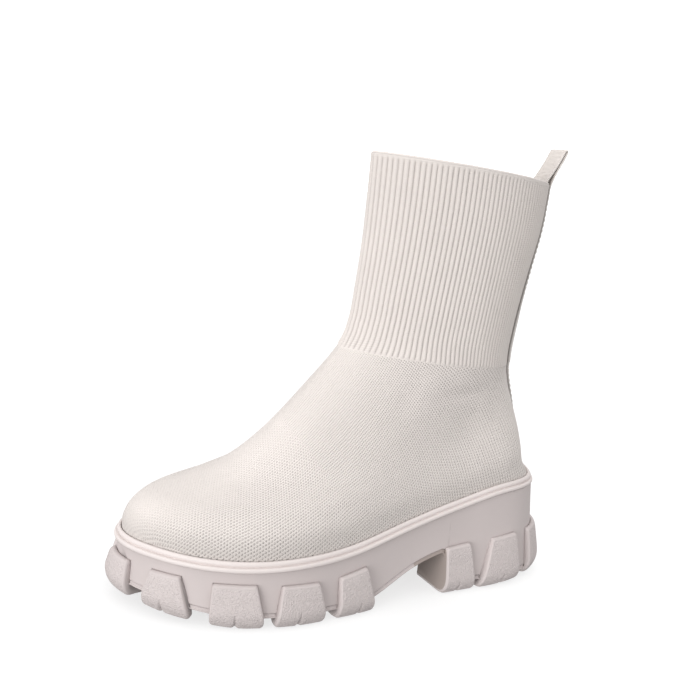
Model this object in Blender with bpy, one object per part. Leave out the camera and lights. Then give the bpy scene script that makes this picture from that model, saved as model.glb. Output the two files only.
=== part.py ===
# Knitted ankle boot with a ribbed shaft on a thick lugged sole, left foot
import bmesh
import bpy
import numpy as np

# All sizes are in millimetres and MM turns them into metres
# X points to the outer side, the toe points to -Y, Z is up from the floor
MM = 0.001
GAP = 0.3

# The feather line, where the knit meets the sole, sets the length of the foot
LENGTH = 251.0
HEEL_Y = 122.7
FOOT_HALF = 49.4
TOE_TIP_X = -8.3

# Feather line: share of the length from the heel, half widths to the two sides
OUTLINE = np.array([
    # share, outer, inner
    (0.02, 17.8, 17.8),
    (0.05, 26.7, 26.7),
    (0.10, 34.1, 34.1),
    (0.20, 38.3, 37.8),
    (0.30, 39.0, 36.1),
    (0.40, 41.0, 35.1),
    (0.50, 44.4, 38.6),
    (0.60, 47.9, 44.0),
    (0.68, 49.4, 48.4),
    (0.75, 48.4, 49.4),
    (0.82, 44.0, 47.9),
    (0.88, 36.6, 44.4),
    (0.93, 26.8, 38.4),
    (0.97, 13.9, 28.5),
])

# Height of the feather line over the floor
FEATHER = np.array([
    # share, height
    (0.00, 60.0),
    (0.10, 60.8),
    (0.18, 59.6),
    (0.30, 53.4),
    (0.45, 45.5),
    (0.60, 37.8),
    (0.72, 35.0),
    (0.85, 33.8),
    (1.00, 35.0),
])

# Underside of the outsole plate between the lugs, with the breast of the heel and the arch
UNDERSIDE = np.array([
    # share, height
    (0.000, 5.5),
    (0.250, 5.5),
    (0.334, 5.5),
    (0.338, 24.0),
    (0.360, 23.0),
    (0.400, 20.6),
    (0.442, 17.1),
    (0.483, 12.4),
    (0.520, 8.3),
    (0.550, 6.0),
    (0.600, 5.5),
    (0.800, 5.5),
    (0.850, 6.0),
    (0.890, 7.2),
    (0.930, 9.0),
    (1.000, 12.5),
])
BREAST_SETBACK = 8.0
BREAST_SHARE = 0.336
BREAST_REACH = 0.10
BREAST_ROWS = (0.2, 0.5, 0.8)

# Toe spring and heel bevel of the lugs' feet
SPRING_START = 0.817
SPRING_RISE = 5.5
BEVEL_END = 0.235
BEVEL_RISE = 4.2
SPRING_POWER = 1.6

# Welt strip: a round bead over a thin rim
WELT_HEIGHT = 5.3
WELT_SECTION = (
    # out from the feather line, up from the feather line
    (0.3, -5.3),
    (0.3, -0.5),
    (0.9, 0.0),
    (1.7, -0.4),
    (2.2, -1.4),
    (1.9, -2.7),
    (3.2, -3.0),
    (3.5, -3.7),
    (3.3, -5.3),
)

# Side wall of the midsole and edge of the outsole plate
WALL_OUT = 1.7
WALL_FLARE = 0.08
HEEL_OUT = 1.5
HEEL_FLARE = 0.05
HEEL_END = 0.25
PLATE_THICK = 2.2
PLATE_EDGE = 0.5

# Lugs: places along the feather line from the middle of the heel's back
LUGS = (
    # foot_from, foot_to, top_from, top_to, notch, height at the heel side, height at the toe side
    (2.4, 40.4, 5.0, 39.6, 21.0, 30.2, 30.2),
    (48.5, 76.8, 51.5, 69.7, 61.5, 30.4, 28.9),
    (80.8, 103.4, 85.7, 103.1, 93.3, 28.2, 26.8),
    (155.1, 179.1, 161.1, 178.7, 165.6, 25.4, 22.3),
    (187.0, 213.4, 191.0, 211.3, 201.7, 21.8, 21.8),
    (219.0, 245.0, 223.4, 244.9, 232.7, 22.6, 22.6),
    (254.3, 279.2, 260.1, 276.3, 267.7, 23.7, 23.7),
)
TOE_LUG_HALF = 12.0
TOE_LUG_DRAFT = 1.5
TOE_LUG_HEIGHT = 23.8
LUG_TOP_THICK = 2.8
LUG_FACE_THICK = 3.9
LUG_FACE_LOW = 8.5
LUG_BEVEL = 1.6
LUG_REACH = 22.0
LUG_END_REACH = 14.0
LUG_TAPER = 0.62
LUG_NOTCH = 2.0
LUG_SINK = 1.2
LUG_GAP = 0.45

# Knit upper: one row per ring of the shell, from the edge in the sole to the collar
KNIT = 2.0
UPPER = np.array([
    # back, back_z, front, front_z, follow, half, oval, pinch
    (0.0, 54.7, 251.0, 29.7, 1.00, 49.4, 0.00, 0.50),
    (0.0, 60.3, 251.0, 35.3, 1.00, 49.4, 0.00, 0.50),
    (5.8, 67.0, 250.6, 40.5, 1.00, 49.4, 0.00, 0.50),
    (8.6, 77.0, 246.8, 47.5, 1.00, 48.6, 0.05, 0.50),
    (11.2, 87.5, 238.5, 53.8, 0.95, 45.6, 0.20, 0.50),
    (13.9, 97.0, 222.5, 58.6, 0.85, 41.8, 0.42, 0.51),
    (16.4, 105.0, 202.0, 66.8, 0.70, 38.8, 0.64, 0.52),
    (18.5, 111.5, 181.0, 83.6, 0.45, 36.7, 0.80, 0.55),
    (20.0, 117.5, 160.0, 107.0, 0.20, 35.2, 0.92, 0.60),
    (20.6, 124.0, 139.6, 132.6, 0.00, 33.9, 1.00, 0.66),
    (20.3, 136.0, 134.0, 148.0, 0.00, 33.4, 1.00, 0.70),
    (17.4, 158.0, 132.3, 166.0, 0.00, 33.4, 1.00, 0.70),
    (12.8, 183.0, 131.0, 190.0, 0.00, 33.4, 1.00, 0.70),
    (8.2, 207.0, 131.0, 214.0, 0.00, 33.4, 1.00, 0.70),
    (6.4, 233.7, 131.5, 239.4, 0.00, 33.4, 1.00, 0.70),
])
RIB_ROW = 9
RIB_STEP = 0.5
UPPER_LEVELS = (0, 1, 2, 3, 3.5, 4, 4.5, 5, 5.5, 6, 6.5, 7, 7.5, 8, 8.5, 8.9, 9, 10, 11, 12, 13, 14)

# Insole
INSOLE_THICK = 3.0
INSOLE_IN = 2.6

# Webbing tape over the back seam
TAPE_HALF = 7.0
TAPE_THICK = 1.3
TAPE_PLACES = (-1.0, -0.7, -0.36, 0.0, 0.36, 0.7, 1.0)
TAPE_LEVELS = (1.45, 2, 2.5, 3, 4, 5, 6, 7, 8, 8.8, 9, 10, 11, 12, 13, 13.5, 13.85)

# Pull loop of folded webbing over the back of the collar
LOOP_HALF = 5.6
LOOP_PLACES = (-1.0, -0.65, -0.35, 0.0, 0.35, 0.65, 1.0)
LOOP_THICK = 1.1
LOOP_INNER = -3.8
LOOP_OUTER = 3.25
LOOP_BOW = 1.3
LOOP_LEAN = 26.0
LOOP_FOOT = 0.8
LOOP_FLAT = 0.5
LOOP_RISE = 19.4
LOOP_SEWN = 12.8
LOOP_BEND = 0.4

COLOURS = {
    "outsole": (0.50, 0.45, 0.44),
    "midsole": (0.46, 0.41, 0.40),
    "welt": (0.53, 0.47, 0.46),
    "insole": (0.60, 0.56, 0.53),
    "upper": (0.66, 0.60, 0.57),
    "back_tape": (0.58, 0.54, 0.51),
    "pull_loop": (0.62, 0.58, 0.54),
}


def smooth(x, xs, ys):
    """Value of a smooth curve through the points of a table."""
    xs = np.asarray(xs, float)
    ys = np.asarray(ys, float)
    step = np.diff(xs)
    slope = np.diff(ys) / step
    inner = (slope[:-1] * step[1:] + slope[1:] * step[:-1]) / (step[:-1] + step[1:])
    tangent = np.concatenate(([slope[0]], inner, [slope[-1]]))
    i = np.clip(np.searchsorted(xs, x) - 1, 0, len(xs) - 2)
    t = (x - xs[i]) / step[i]
    start = (1 + 2 * t) * (1 - t) ** 2 * ys[i] + t * (1 - t) ** 2 * step[i] * tangent[i]
    end = t * t * (3 - 2 * t) * ys[i + 1] + t * t * (t - 1) * step[i] * tangent[i + 1]
    return start + end


def turn_of(share):
    """Angle that runs from 0 at the heel's back to pi at the toe's tip."""
    return np.arccos(1 - 2 * np.clip(share, 0, 1))


def share_of(turn):
    return (1 - np.cos(turn)) / 2


OUTLINE_TURN = np.concatenate(([0], turn_of(OUTLINE[:, 0]), [np.pi]))
OUTLINE_X = {
    1: np.concatenate(([0], OUTLINE[:, 1], [TOE_TIP_X])),
    -1: np.concatenate(([0], -OUTLINE[:, 2], [TOE_TIP_X])),
}


def foot_x(turn, side):
    return smooth(turn, OUTLINE_TURN, OUTLINE_X[side])


def outline(turn, side, out=0.0):
    """Plan point of the feather line, moved outwards by a distance."""
    small = 1e-4
    low = np.clip(turn - small, 0, np.pi)
    high = np.clip(turn + small, 0, np.pi)
    dx = foot_x(high, side) - foot_x(low, side)
    dy = LENGTH / 2 * (np.cos(high) - np.cos(low))
    norm = np.hypot(dx, dy)
    x = foot_x(turn, side) - side * dy / norm * out
    y = HEEL_Y - LENGTH * share_of(turn) + side * dx / norm * out
    return x, y


def feather_z(share):
    return smooth(share, FEATHER[:, 0], FEATHER[:, 1])


def midsole_top(share):
    return feather_z(share) - WELT_HEIGHT - GAP


def wall_out(share, z):
    """How far the side wall stands out of the feather line at a height."""
    heel = np.clip(1 - share / HEEL_END, 0, 1)
    flare = WALL_FLARE + HEEL_FLARE * heel
    return WALL_OUT + HEEL_OUT * heel + flare * (midsole_top(share) - z)


def underside(share):
    return np.interp(share, UNDERSIDE[:, 0], UNDERSIDE[:, 1])


def spring(share):
    """Height of the lugs' feet over the floor."""
    toe = np.clip((share - SPRING_START) / (1 - SPRING_START), 0, None)
    heel = np.clip((BEVEL_END - share) / BEVEL_END, 0, None)
    return SPRING_RISE * toe ** SPRING_POWER + BEVEL_RISE * heel ** SPRING_POWER


# Distances along the feather line
FINE_TURN = np.linspace(0, np.pi, 2001)
ALONG = {}
for fine_side in (1, -1):
    fine_x, fine_y = outline(FINE_TURN, fine_side)
    ALONG[fine_side] = np.concatenate(([0], np.cumsum(np.hypot(np.diff(fine_x), np.diff(fine_y)))))


def turn_at(distance, side):
    return np.interp(distance, ALONG[side], FINE_TURN)


def add_solid(name, points, faces):
    """Closed solid from points in millimetres, with its own material."""
    mesh = bpy.data.meshes.new(name)
    mesh.from_pydata([tuple(p) for p in np.asarray(points) * MM], [], faces)
    work = bmesh.new()
    work.from_mesh(mesh)
    bmesh.ops.triangulate(work, faces=work.faces, quad_method="SHORT_EDGE")
    bmesh.ops.recalc_face_normals(work, faces=work.faces)
    work.to_mesh(mesh)
    work.free()
    solid = bpy.data.objects.new(name, mesh)
    bpy.context.scene.collection.objects.link(solid)
    if name in COLOURS:
        material = bpy.data.materials.new(name)
        material.use_nodes = True
        shader = material.node_tree.nodes["Principled BSDF"]
        shader.inputs["Base Color"].default_value = (*COLOURS[name], 1.0)
        shader.inputs["Roughness"].default_value = 0.8
        mesh.materials.append(material)
    return solid


def numbered(rows):
    """Point numbers of rows of points that are stacked one after the other."""
    numbers = []
    start = 0
    for row in rows:
        numbers.append(list(range(start, start + len(row))))
        start += len(row)
    return numbers


def band(first, second):
    """Faces between two closed rings, given as lists of point numbers."""
    n = len(first)
    return [(first[i], first[(i + 1) % n], second[(i + 1) % n], second[i]) for i in range(n)]


def across(ring, middle=()):
    """Faces that close a ring from its outer to its inner side, over optional rows of middle points."""
    count = len(ring) // 2 - 1
    outer = [ring[k] for k in range(1, count + 1)]
    inner = [ring[-k] for k in range(1, count + 1)]
    rows = [[ring[0]] + list(row) + [ring[count + 1]] for row in (outer, *middle, inner)]
    faces = []
    for first, second in zip(rows, rows[1:]):
        for k in range(count + 1):
            for face in ((first[k], first[k + 1], second[k]), (first[k + 1], second[k + 1], second[k])):
                if len(set(face)) == 3:
                    faces.append(face)
    return faces


def plan_ring(shares, outs, heights):
    """Ring of points around the sole: heel, outer side, toe, inner side."""
    turns = turn_of(np.asarray(shares))
    points = []
    last = len(turns) - 1
    for side, order in ((1, range(last + 1)), (-1, range(last - 1, 0, -1))):
        for k in order:
            x, y = outline(turns[k], side, outs[k])
            points.append((x, y, heights[k]))
    return np.array(points)


def plan_middle(shares, heights):
    """Rows of points between the two sides of the underside, set back at the breast of the heel."""
    turns = turn_of(np.asarray(shares)[1:-1])
    near = np.clip(1 - np.abs(STATIONS[1:-1] - BREAST_SHARE) / BREAST_REACH, 0, 1)
    rows = []
    for place in BREAST_ROWS:
        x = foot_x(turns, 1) * (1 - place) + foot_x(turns, -1) * place
        y = HEEL_Y - LENGTH * share_of(turns) + BREAST_SETBACK * np.sin(np.pi * place) * near
        rows.append(np.column_stack((x, y, np.asarray(heights)[1:-1])))
    return rows


def profile_offset(shares, heights, distance):
    """The underside's profile, moved up and into the sole by a distance."""
    y = LENGTH * (0.5 - shares)
    piece = np.column_stack((np.diff(y), np.diff(heights)))
    piece = piece / np.linalg.norm(piece, axis=1)[:, None]
    normal = np.column_stack((piece[:, 1], -piece[:, 0]))
    first = np.vstack((normal[:1], normal))
    second = np.vstack((normal, normal[-1:]))
    mean = first + second
    scale = 2 / np.sum(mean * mean, axis=1)
    move = mean * scale[:, None] * distance
    return shares - move[:, 0] / LENGTH, heights + move[:, 1]


# Stations of the sole: close together at the heel and toe, and at each step of the underside
HEEL_STATIONS = share_of(np.radians((0, 9, 18, 27, 36, 45, 54)))
TOE_STATIONS = share_of(np.radians((119, 127, 135, 144, 153, 162, 171, 180)))
ARCH_STATIONS = UNDERSIDE[2:11, 0]
STATIONS = np.concatenate((HEEL_STATIONS, [0.27], ARCH_STATIONS, [0.65, 0.70], TOE_STATIONS))
UNDER = underside(STATIONS)
WAIST_STATIONS = (0.27, 0.334, 0.40, 0.483, 0.55, 0.60, 0.65, 0.70)
UPPER_STATIONS = np.concatenate((HEEL_STATIONS, WAIST_STATIONS, TOE_STATIONS))


def add_midsole():
    shares, low = profile_offset(STATIONS, UNDER, PLATE_THICK + GAP)
    shares[0] = 0.0
    shares[-1] = 1.0
    high = midsole_top(STATIONS)
    bottom = plan_ring(shares, wall_out(shares, low), low)
    top = plan_ring(STATIONS, wall_out(STATIONS, high), high)
    rows = [bottom, top] + plan_middle(shares, low)
    first, second, *middle = numbered(rows)
    return add_solid("midsole", np.vstack(rows), band(first, second) + across(first, middle) + across(second))


def lug_points(columns, side, reach):
    """One lug as a row of sections: each column gives its place at the foot, top and inner end."""
    sections = []
    for foot, top, inner, notch, height in columns:
        section = []
        foot_turn = turn_at(foot, side)
        share = share_of(foot_turn)
        floor = spring(share)
        base = underside(share) + LUG_SINK
        low = floor + LUG_FACE_LOW
        back = wall_out(share, height) + LUG_GAP
        face = wall_out(share, low) + GAP + LUG_FACE_THICK
        rows = (
            # out, height, place along the lug's slope from foot to top
            (back, height, 1.0),
            (back + LUG_TOP_THICK - LUG_BEVEL, height, 1.0),
            (back + LUG_TOP_THICK, height - LUG_BEVEL, 0.95),
            (face, low, 0.25),
            (face - 0.7 - 0.4 * notch, floor + 4.6 + 0.5 * notch, 0.08),
            (face - 2.4 - 0.6 * notch, floor + 1.7 + 0.9 * notch, 0.02),
            (face - 5.0, floor + notch, 0.0),
        )
        for out, z, slope in rows:
            turn = turn_at(foot + (top - foot) * slope, side)
            x, y = outline(turn, side, out)
            section.append((x, y, z))
        x, y = outline(turn_at(inner, side), side, -reach)
        inner_share = (HEEL_Y - y) / LENGTH
        section.append((x, y, spring(inner_share) + notch))
        section.append((x, y, underside(inner_share) + LUG_SINK))
        x, y = outline(foot_turn, side, wall_out(share, base) + GAP)
        section.append((x, y, base))
        sections.append(section)
    return sections


def lug_columns(foot_from, foot_to, top_from, top_to, notch, height_from, height_to):
    """Columns of a lug from its heel side to its toe side, with a notch in its foot."""
    notch_share = (notch - foot_from) / (foot_to - foot_from)
    width = 1.7 / (foot_to - foot_from)
    before = notch_share - width
    after = notch_share + width
    shares = (0.0, before / 2, before, notch_share, after, (1 + after) / 2, 1.0)
    centre = (foot_from + foot_to) / 2
    columns = []
    for share in shares:
        foot = foot_from + (foot_to - foot_from) * share
        top = top_from + (top_to - top_from) * share
        inner = centre + (foot - centre) * LUG_TAPER
        depth = LUG_NOTCH if share == notch_share else 0.0
        columns.append((foot, top, inner, depth, height_from + (height_to - height_from) * share))
    return columns


def toe_lug_points():
    """Lug that wraps the tip of the toe."""
    sections = []
    for share in (-1.0, -0.6, -0.2, 0.2, 0.6, 1.0):
        side = 1 if share > 0 else -1
        tip = ALONG[side][-1]
        foot = tip - abs(share) * TOE_LUG_HALF
        top = tip - abs(share) * (TOE_LUG_HALF - TOE_LUG_DRAFT)
        inner = tip - abs(share) * TOE_LUG_HALF * LUG_TAPER
        sections += lug_points([(foot, top, inner, 0.0, TOE_LUG_HEIGHT)], side, LUG_END_REACH)
    return sections


def add_lugs():
    """All lugs in one helper object, to be joined to the outsole's plate."""
    blocks = []
    for *along, height_from, height_to in LUGS:
        reach = LUG_REACH if 60 < along[1] < 250 else LUG_END_REACH
        for side in (1, -1):
            scale = 1.0 if side == 1 else ALONG[-1][-1] / ALONG[1][-1]
            columns = lug_columns(*(scale * v for v in along), height_from, height_to)
            blocks.append(lug_points(columns, side, reach))
    blocks.append(toe_lug_points())
    points = []
    faces = []
    for sections in blocks:
        count = len(sections[0])
        rings = []
        for section in sections:
            rings.append(list(range(len(points), len(points) + count)))
            points += section
        for first, second in zip(rings, rings[1:]):
            faces += band(first, second)
        faces.append(tuple(rings[0]))
        faces.append(tuple(rings[-1]))
    return add_solid("lug_blocks", points, faces)


def add_outsole():
    shares, high = profile_offset(STATIONS, UNDER, PLATE_THICK)
    shares[0] = 0.0
    shares[-1] = 1.0
    bottom = plan_ring(STATIONS, wall_out(STATIONS, UNDER) + PLATE_EDGE, UNDER)
    top = plan_ring(shares, wall_out(shares, high) + PLATE_EDGE, high)
    rows = [bottom, top] + plan_middle(STATIONS, UNDER) + plan_middle(shares, high)
    first, second, *middle = numbered(rows)
    count = len(BREAST_ROWS)
    faces = band(first, second) + across(first, middle[:count]) + across(second, middle[count:])
    plate = add_solid("outsole", np.vstack(rows), faces)
    lugs = add_lugs()
    join = plate.modifiers.new("lugs", "BOOLEAN")
    join.operation = "UNION"
    join.solver = "EXACT"
    join.object = lugs
    lugs.hide_render = True
    lugs.display_type = "WIRE"
    return plate


def add_welt():
    heights = feather_z(UPPER_STATIONS)
    rows = []
    for out, up in WELT_SECTION:
        rows.append(plan_ring(UPPER_STATIONS, np.full(len(UPPER_STATIONS), out), heights + up))
    rings = numbered(rows)
    faces = []
    for first, second in zip(rings, rings[1:] + rings[:1]):
        faces += band(first, second)
    return add_solid("welt", np.vstack(rows), faces)


def add_insole():
    low = feather_z(UPPER_STATIONS) - WELT_HEIGHT
    outs = np.full(len(UPPER_STATIONS), -INSOLE_IN)
    bottom = plan_ring(UPPER_STATIONS, outs, low)
    top = plan_ring(UPPER_STATIONS, outs, low + INSOLE_THICK)
    first, second = numbered([bottom, top])
    return add_solid("insole", np.vstack((bottom, top)), band(first, second) + across(first) + across(second))


def upper_point(level, turn, side):
    """Point of the knit's outer face: level counts the rows of UPPER, turn runs from back to front."""
    rows = np.arange(len(UPPER))
    columns = [smooth(level, rows, UPPER[:, k]) for k in range(UPPER.shape[1])]
    back, back_z, front, front_z, follow, half, oval, pinch = columns
    q = share_of(turn)
    along = back + (front - back) * q
    chord = feather_z(back / LENGTH) * (1 - q) + feather_z(front / LENGTH) * q
    z = back_z + (front_z - back_z) * q + follow * (feather_z(along / LENGTH) - chord)
    lens = (4 * q * (1 - q)) ** pinch
    x = half * ((1 - oval) * foot_x(turn, side) / FOOT_HALF + oval * side * lens)
    return np.stack((x, HEEL_Y - along, z), axis=-1)


def upper_normal(level, turn, side):
    """Outward direction of the knit's outer face."""
    top = len(UPPER) - 1
    du = 0.02
    dv = 0.05
    before = upper_point(level, abs(turn - du), side if turn >= du else -side)
    past = turn + du
    after = upper_point(level, min(past, 2 * np.pi - past), side if past <= np.pi else -side)
    below = upper_point(max(level - dv, 0), turn, side)
    above = upper_point(min(level + dv, top), turn, side)
    normal = side * np.cross(above - below, after - before)
    return normal / np.linalg.norm(normal)


def rib_step(level):
    """The ribbed shaft stands a little out of the foot's knit."""
    return RIB_STEP if level >= RIB_ROW else 0.0


def add_upper():
    turns = turn_of(UPPER_STATIONS)
    places = [(t, 1) for t in turns] + [(t, -1) for t in turns[-2:0:-1]]
    outer = []
    inner = []
    for level in UPPER_LEVELS:
        step = rib_step(level)
        for turn, side in places:
            point = upper_point(float(level), turn, side)
            normal = upper_normal(float(level), turn, side)
            if level in (UPPER_LEVELS[0], UPPER_LEVELS[-1]):
                normal = normal * (1, 1, 0)
                normal = normal / np.linalg.norm(normal)
            outer.append(point + normal * step)
            inner.append(point - normal * KNIT)
    n = len(places)
    rows = len(UPPER_LEVELS)
    outer_rings = [list(range(r * n, (r + 1) * n)) for r in range(rows)]
    inner_rings = [list(range((rows + r) * n, (rows + r + 1) * n)) for r in range(rows)]
    faces = []
    for rings in (outer_rings, inner_rings):
        for first, second in zip(rings, rings[1:]):
            faces += band(first, second)
    faces += band(outer_rings[0], inner_rings[0]) + band(outer_rings[-1], inner_rings[-1])
    return add_solid("upper", outer + inner, faces)


def back_point(level, across_mm, out):
    """Point over the back seam, a distance to one side along the knit and a distance out of it."""
    side = 1 if across_mm >= 0 else -1
    turns = np.linspace(0, 1.0, 60)
    line = np.array([upper_point(level, t, side) for t in turns])
    along = np.concatenate(([0], np.cumsum(np.linalg.norm(np.diff(line, axis=0), axis=1))))
    turn = np.interp(abs(across_mm), along, turns)
    return upper_point(level, turn, side) + upper_normal(level, turn, side) * out


def add_back_tape():
    shares = TAPE_PLACES
    points = []
    rings = []
    for level in TAPE_LEVELS:
        low = rib_step(level) + GAP
        section = [back_point(level, s * TAPE_HALF, low) for s in shares]
        section += [back_point(level, s * TAPE_HALF, low + TAPE_THICK) for s in reversed(shares)]
        rings.append(list(range(len(points), len(points) + len(section))))
        points += section
    faces = []
    for first, second in zip(rings, rings[1:]):
        faces += band(first, second)
    for ring in (rings[0], rings[-1]):
        half = len(shares)
        for k in range(half - 1):
            faces.append((ring[k], ring[k + 1], ring[-2 - k], ring[-1 - k]))
    return add_solid("back_tape", points, faces)


def back_line(z):
    """Place of the back seam at a height."""
    return smooth(z, UPPER[9:, 1], UPPER[9:, 0])


def loop_path():
    """Middle line of the webbing: distance from the heel, height, and how far it curls with the collar."""
    collar = UPPER[-1, 1]
    lean = np.radians(LOOP_LEAN)
    up = np.array((-np.sin(lean), np.cos(lean)))
    inwards = np.array((np.cos(lean), np.sin(lean)))
    foot = np.array((back_line(collar) - LOOP_FOOT, collar + 1.0))
    path = []
    for drop in (LOOP_SEWN, LOOP_SEWN / 2, -LOOP_BEND):
        z = collar - drop
        path.append((back_line(z) - LOOP_INNER, z, 1.0))
    for rise in (0.35, 0.7):
        curl = max(0.0, 1 - rise / LOOP_FLAT)
        path.append((*(foot + up * rise * LOOP_RISE + inwards * LOOP_BOW), curl))
    for angle in np.radians((0, 36, 72, 108, 144, 180)):
        lift = LOOP_RISE + LOOP_BOW * np.sin(angle)
        path.append((*(foot + up * lift + inwards * LOOP_BOW * np.cos(angle)), 0.0))
    for rise in (0.7, 0.35):
        curl = max(0.0, 1 - rise / LOOP_FLAT)
        path.append((*(foot + up * rise * LOOP_RISE - inwards * LOOP_BOW), curl))
    for drop in (1.5, LOOP_SEWN / 2, LOOP_SEWN):
        z = collar - drop
        path.append((back_line(z) - LOOP_OUTER, z, 1.0))
    return np.array(path)


def collar_curl(across_mm):
    """How far the collar's back curves to the front at a distance from the seam."""
    turns = np.linspace(0, 1.0, 60)
    line = np.array([upper_point(float(len(UPPER) - 1), t, 1) for t in turns])
    return line[0, 1] - np.interp(abs(across_mm), line[:, 0], line[:, 1])


def add_pull_loop():
    path = loop_path()
    along = np.gradient(path[:, :2], axis=0)
    along = along / np.linalg.norm(along, axis=1)[:, None]
    normal = np.column_stack((-along[:, 1], along[:, 0]))
    points = []
    rings = []
    section = [(s, -1) for s in LOOP_PLACES] + [(s, 1) for s in reversed(LOOP_PLACES)]
    for (place, z, curl), side in zip(path, normal):
        rings.append(list(range(len(points), len(points) + len(section))))
        for s, half in section:
            move = side * half * LOOP_THICK / 2
            bend = curl * collar_curl(s * LOOP_HALF)
            points.append((s * LOOP_HALF, HEEL_Y - place - move[0] - bend, z + move[1]))
    faces = []
    for first, second in zip(rings, rings[1:]):
        faces += band(first, second)
    for ring in (rings[0], rings[-1]):
        for k in range(len(LOOP_PLACES) - 1):
            faces.append((ring[k], ring[k + 1], ring[-2 - k], ring[-1 - k]))
    return add_solid("pull_loop", points, faces)


for old in list(bpy.data.objects):
    bpy.data.objects.remove(old, do_unlink=True)
add_outsole()
add_midsole()
add_welt()
add_insole()
add_upper()
add_back_tape()
add_pull_loop()
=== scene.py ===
import bpy
import numpy as np
from mathutils import Matrix


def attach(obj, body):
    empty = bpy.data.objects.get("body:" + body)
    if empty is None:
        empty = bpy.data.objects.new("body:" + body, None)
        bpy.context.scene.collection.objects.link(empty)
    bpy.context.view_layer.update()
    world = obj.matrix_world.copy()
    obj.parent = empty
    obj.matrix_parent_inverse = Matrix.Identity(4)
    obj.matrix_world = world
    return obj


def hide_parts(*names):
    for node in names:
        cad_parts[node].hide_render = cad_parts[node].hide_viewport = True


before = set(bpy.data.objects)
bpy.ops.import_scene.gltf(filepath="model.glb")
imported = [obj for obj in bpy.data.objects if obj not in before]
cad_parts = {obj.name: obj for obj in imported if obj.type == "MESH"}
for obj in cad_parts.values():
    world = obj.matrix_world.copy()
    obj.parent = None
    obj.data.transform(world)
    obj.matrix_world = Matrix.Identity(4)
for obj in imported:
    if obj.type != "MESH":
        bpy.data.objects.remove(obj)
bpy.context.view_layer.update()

# All sizes are in millimetres and MM turns them into metres
# X points to the outer side, the toe points to -Y, Z is up from the floor
MM = 0.001

# The feather line, where the knit meets the sole, sets the length of the foot
LENGTH = 251.0
HEEL_Y = 122.7
FOOT_HALF = 49.4
TOE_TIP_X = -8.3
FINE_STEPS = 2001

# Feather line: share of the length from the heel, half widths to the two sides
OUTLINE = np.array([
    # share, outer, inner
    (0.02, 17.8, 17.8),
    (0.05, 26.7, 26.7),
    (0.10, 34.1, 34.1),
    (0.20, 38.3, 37.8),
    (0.30, 39.0, 36.1),
    (0.40, 41.0, 35.1),
    (0.50, 44.4, 38.6),
    (0.60, 47.9, 44.0),
    (0.68, 49.4, 48.4),
    (0.75, 48.4, 49.4),
    (0.82, 44.0, 47.9),
    (0.88, 36.6, 44.4),
    (0.93, 26.8, 38.4),
    (0.97, 13.9, 28.5),
])

# Height of the feather line over the floor
FEATHER = np.array([
    # share, height
    (0.00, 60.0),
    (0.10, 60.8),
    (0.18, 59.6),
    (0.30, 53.4),
    (0.45, 45.5),
    (0.60, 37.8),
    (0.72, 35.0),
    (0.85, 33.8),
    (1.00, 35.0),
])

# Underside of the outsole plate between the lugs, with the breast of the heel and the arch
UNDERSIDE = np.array([
    # share, height
    (0.000, 5.5),
    (0.250, 5.5),
    (0.316, 5.5),
    (0.323, 5.5),
    (0.3237, 9.0),
    (0.327, 24.4),
    (0.355, 23.3),
    (0.400, 20.6),
    (0.442, 17.1),
    (0.483, 12.4),
    (0.520, 8.3),
    (0.550, 6.0),
    (0.600, 5.5),
    (0.800, 5.5),
    (0.850, 6.0),
    (0.890, 7.2),
    (0.930, 9.0),
    (1.000, 12.5),
])
BREAST_LUG = 2
ARCH_SHADE = (18.0, 43.0)
ARCH_SHADE_LOW = 9.0
CORNER_CUT = 0.25
PROFILE_CUTS = 3
BREAST_SETBACK = 8.0
BREAST_SHARE = 0.325
BREAST_REACH = 0.10
CROSS_ROWS = (0.1, 0.2, 0.35, 0.5, 0.65, 0.8, 0.9)
PROFILE_STEP = 2.5
PROFILE_TURN = 0.035

# Toe spring and heel bevel of the lugs' feet
SPRING_START = 0.817
SPRING_RISE = 5.5
BEVEL_END = 0.235
BEVEL_RISE = 4.2
SPRING_POWER = 1.6

# Welt strip: a round bead over a thin rim
WELT_HEIGHT = 5.3
WELT_SECTION = np.array([
    # out from the feather line, up from the feather line
    (0.30, -5.30),
    (0.30, -0.60),
    (0.50, -0.10),
    (1.00, 0.10),
    (1.70, -0.15),
    (2.20, -0.90),
    (2.25, -1.70),
    (1.95, -2.40),
    (1.55, -2.75),
    (2.10, -2.80),
    (2.90, -2.85),
    (3.40, -3.10),
    (3.60, -3.70),
    (3.60, -4.40),
    (3.35, -5.00),
    (2.70, -5.30),
])
RING_STEPS = 260
BEAD_FOOT = -2.0
BEAD_BROAD = 4.0
BEAD_SPREAD = 20.0
BEAD_SHIFT = (
    # out of the feather line, share of the broadening
    (1.0, 1.0),
    (1.8, 0.45),
    (2.2, 0.0),
)

# Side wall of the midsole and edge of the outsole plate
GAP = 0.3
WALL_OUT = 1.7
WALL_FLARE = 0.08
HEEL_OUT = 1.5
HEEL_FLARE = 0.05
HEEL_END = 0.25
WALL_ROWS = (0.0, 0.015, 0.12, 0.3, 0.5, 0.7, 0.88, 0.985, 1.0)
WALL_HOLLOW = 0.35
PLATE_THICK = 2.2
PLATE_EDGE = (
    # out of the wall, share of the plate's thickness from its underside
    (-1.2, 0.0),
    (-0.30, 0.0),
    (-0.12, 0.02),
    (-0.05, 0.10),
    (-0.05, 0.30),
    (-0.12, 0.36),
    (-0.35, 0.38),
    (-0.40, 0.45),
    (-0.40, 0.95),
    (-0.50, 1.0),
    (-1.2, 1.0),
)

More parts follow.
